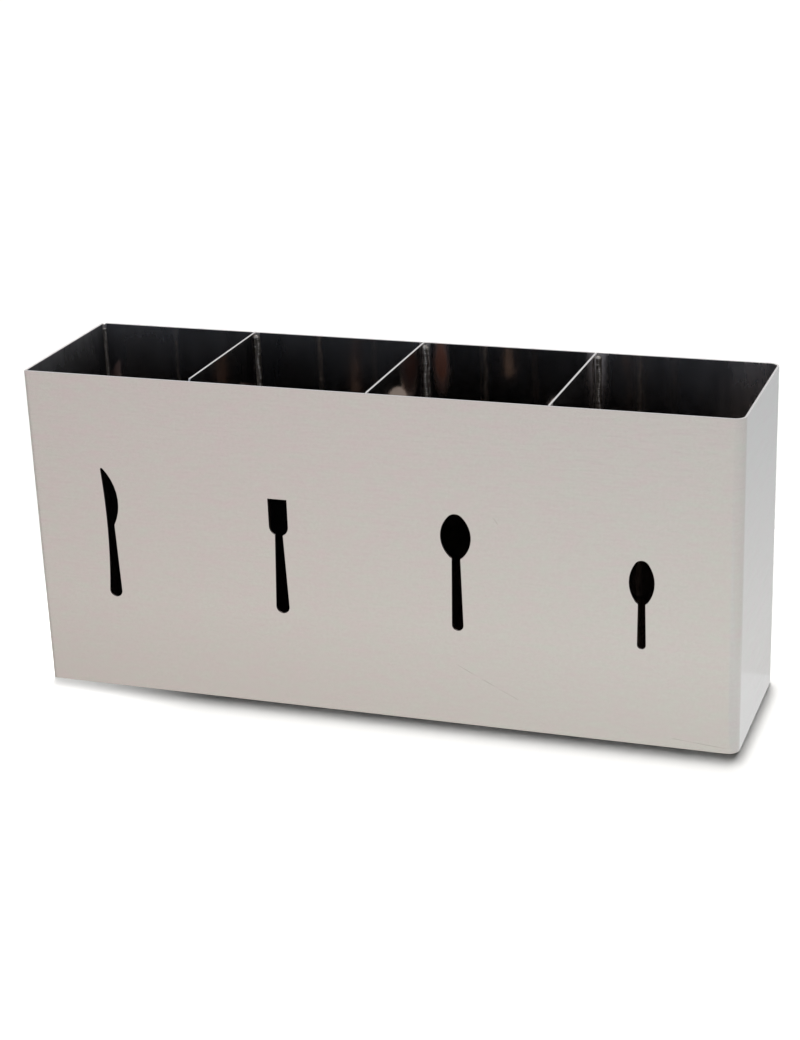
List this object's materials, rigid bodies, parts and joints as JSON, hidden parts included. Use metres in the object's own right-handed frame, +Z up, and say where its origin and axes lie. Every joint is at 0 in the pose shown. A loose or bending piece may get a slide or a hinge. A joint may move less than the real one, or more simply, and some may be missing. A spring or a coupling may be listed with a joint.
{
  "type": "cutlery dispenser",
  "caption": "Open-topped box of stainless sheet for cutlery, with upright dividers and cutlery silhouettes cut through its front.",
  "frame": {"origin": "on the counter, under the middle of the box", "axes": "+X to the right along the row of compartments, +Y from the cut-out front to the back, +Z up"},
  "size_m": [0.4, 0.1, 0.185],
  "materials": {
    "brushed_sheet": "fine horizontal brushing outside, smooth mill finish inside",
    "weld_metal": "as-welded fillet beads, slightly rippled"
  },
  "bodies": {
    "root": {"casing": "brushed_sheet", "left_end_panel": "brushed_sheet", "base_plate": "brushed_sheet", "left_divider": "brushed_sheet", "middle_divider": "brushed_sheet", "right_divider": "brushed_sheet", "front_corner_weld": "weld_metal", "rear_corner_weld": "weld_metal", "left_divider_front_weld": "weld_metal", "left_divider_rear_weld": "weld_metal", "middle_divider_front_weld": "weld_metal", "middle_divider_rear_weld": "weld_metal", "right_divider_front_weld": "weld_metal", "right_divider_rear_weld": "weld_metal", "base_welds": "weld_metal"}
  },
  "joints": []
}
